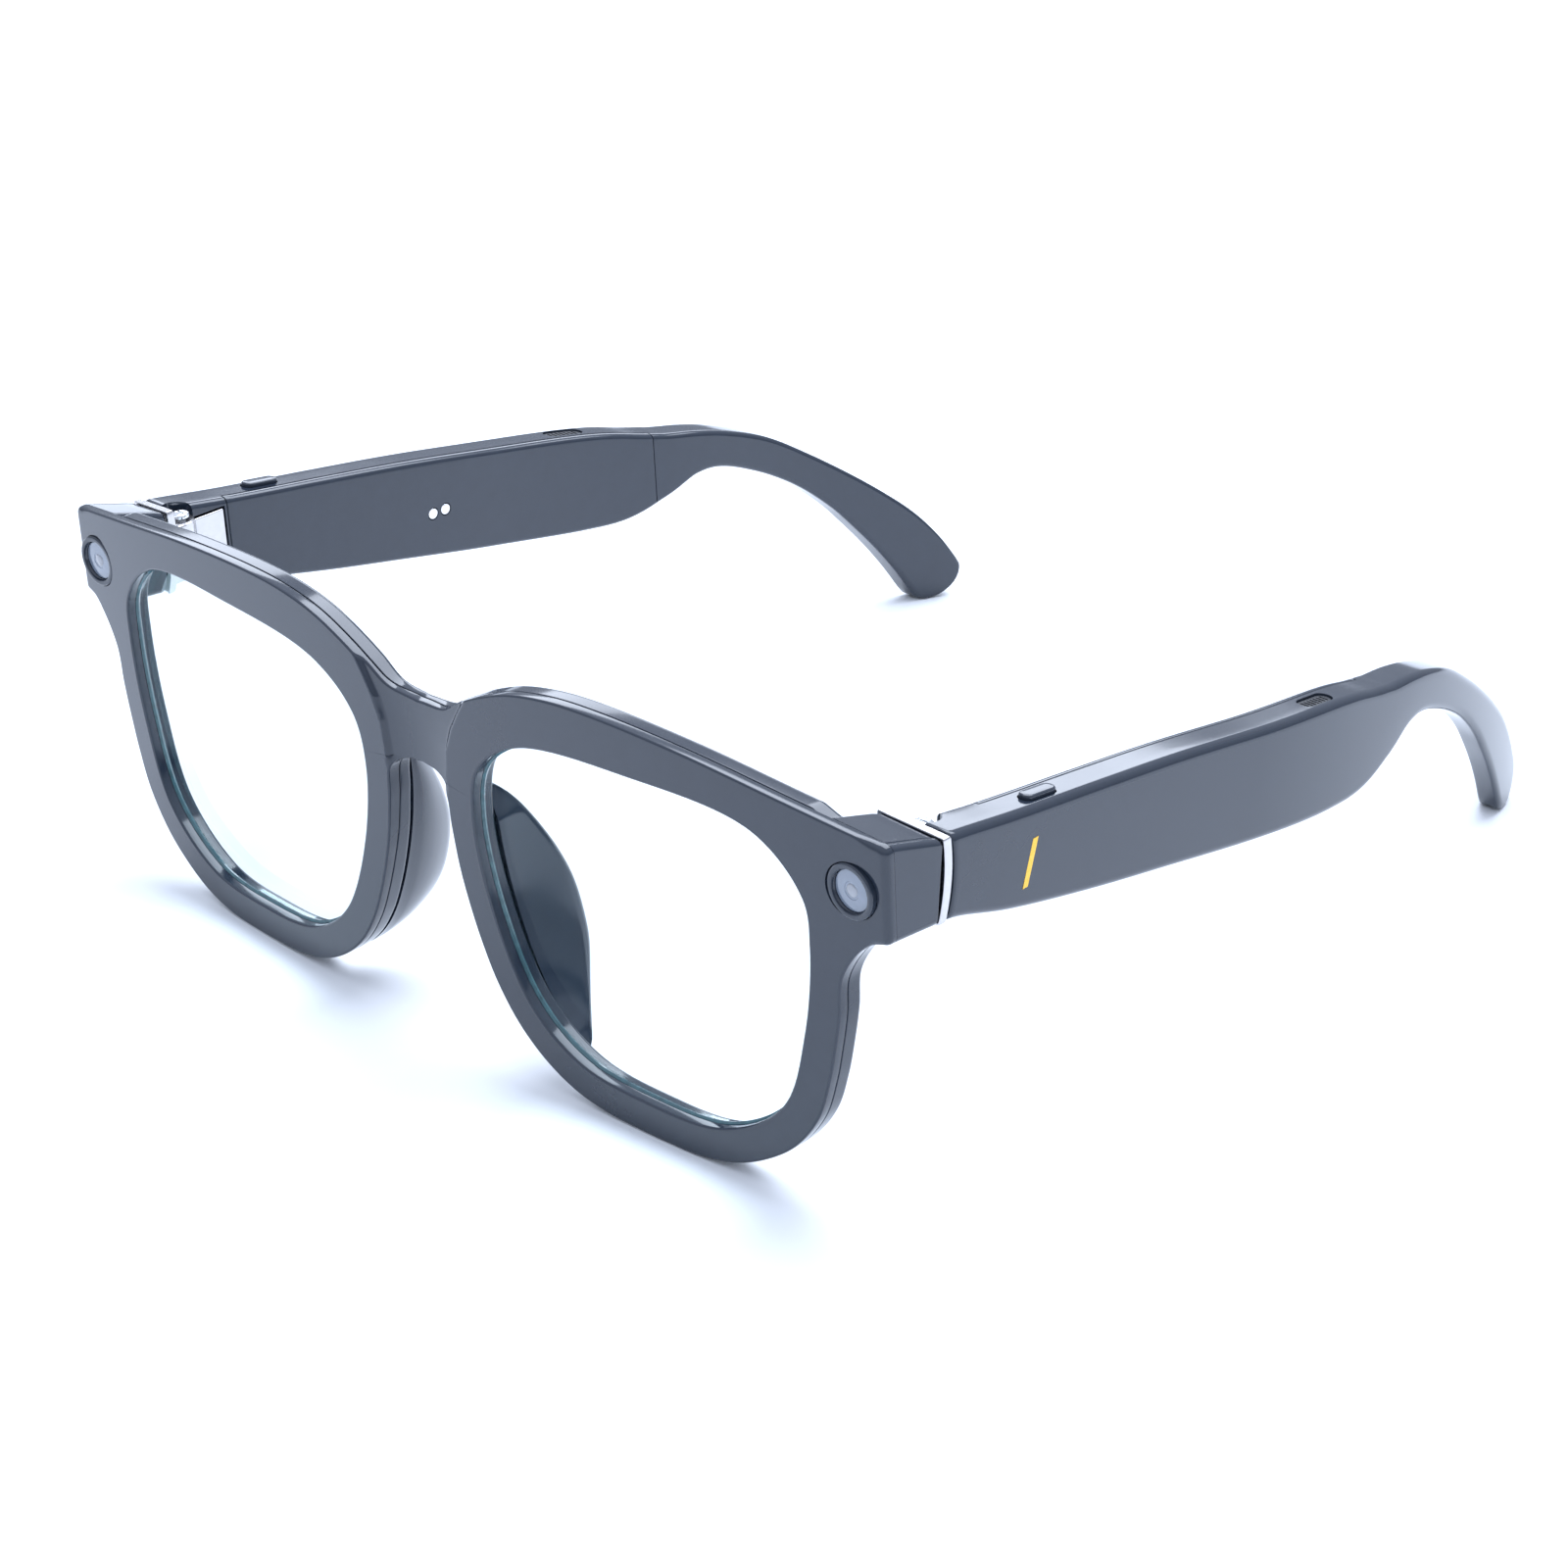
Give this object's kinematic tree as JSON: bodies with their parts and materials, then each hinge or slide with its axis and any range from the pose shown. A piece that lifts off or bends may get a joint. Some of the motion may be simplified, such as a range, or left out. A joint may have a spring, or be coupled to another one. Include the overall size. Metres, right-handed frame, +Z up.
{
  "type": "smart glasses",
  "caption": "Camera spectacles with clear lenses; folding temples hold the batteries, boards and open-ear speakers, each with a press button.",
  "frame": {"origin": "on the table under the middle of the glasses, which stand on both rims and both temple tips", "axes": "+Z up from the table, the front faces -Y, the temples run back along +Y, +X is the wearer's left"},
  "size_m": [0.1462, 0.151, 0.0535],
  "materials": {
    "gloss_black": "polished black injection-moulded nylon with a clear coat",
    "satin_black": "fine satin moulded black",
    "clear_lens": "clear optical lens with an anti-reflection coating",
    "smoked_window": "smoked cover window, polished",
    "silver": "polished nickel silver",
    "screw_steel": "bright plated steel",
    "gold": "gold-plated, satin",
    "foil": "aluminium laminate pouch",
    "circuit": "green solder mask",
    "polyimide": "amber film",
    "magnet": "nickel-plated magnet"
  },
  "bodies": {
    "front": {"front_shell": "gloss_black", "rear_shell": "gloss_black", "front_flex_cable": "polyimide", "lens_left": "clear_lens", "lens_right": "clear_lens", "camera_bezel": "gloss_black", "camera_window": "smoked_window", "camera_module": "satin_black", "indicator_bezel": "gloss_black", "indicator_window": "smoked_window", "indicator_module": "satin_black", "nose_pad_left": "gloss_black", "nose_pad_right": "gloss_black", "hinge_plate_left": "silver", "hinge_plate_right": "silver", "hinge_screw_left": "screw_steel", "hinge_screw_right": "screw_steel"},
    "temple_left": {"temple_shell_left": "gloss_black", "temple_cover_left": "gloss_black", "hinge_leaf_left": "silver", "button_switch_left": "screw_steel", "speaker_grille_left": "satin_black", "speaker_left": "satin_black", "battery_left": "foil", "circuit_board_left": "circuit", "temple_flex_cable_left": "polyimide", "emblem_inlay_left": "gold"},
    "button_left": {"power_button_left": "gloss_black"},
    "temple_right": {"temple_shell_right": "gloss_black", "temple_cover_right": "gloss_black", "hinge_leaf_right": "silver", "button_switch_right": "screw_steel", "speaker_grille_right": "satin_black", "speaker_right": "satin_black", "battery_right": "foil", "circuit_board_right": "circuit", "temple_flex_cable_right": "polyimide", "emblem_inlay_right": "gold", "charge_contact_front": "gold", "charge_contact_rear": "gold", "charge_magnet_upper": "magnet", "charge_magnet_lower": "magnet"},
    "button_right": {"power_button_right": "gloss_black"}
  },
  "joints": [
    {"name": "temple_left_fold", "type": "hinge", "parent": "front", "child": "temple_left", "pos_m": [0.067, -0.05851, 0.0423], "axis": [0, -0.0493, 0.9988], "range_deg": [0, 85]},
    {"name": "temple_right_fold", "type": "hinge", "parent": "front", "child": "temple_right", "pos_m": [-0.067, -0.05851, 0.0423], "axis": [0, 0.0493, -0.9988], "range_deg": [0, 76]},
    {"name": "button_left_press", "type": "slide", "parent": "temple_left", "child": "button_left", "axis": [0, -0.1127, -0.9936], "range_m": [0, 0.0004], "stiffness_N_per_m": 3500},
    {"name": "button_right_press", "type": "slide", "parent": "temple_right", "child": "button_right", "axis": [0, -0.1127, -0.9936], "range_m": [0, 0.0004], "stiffness_N_per_m": 3500}
  ]
}
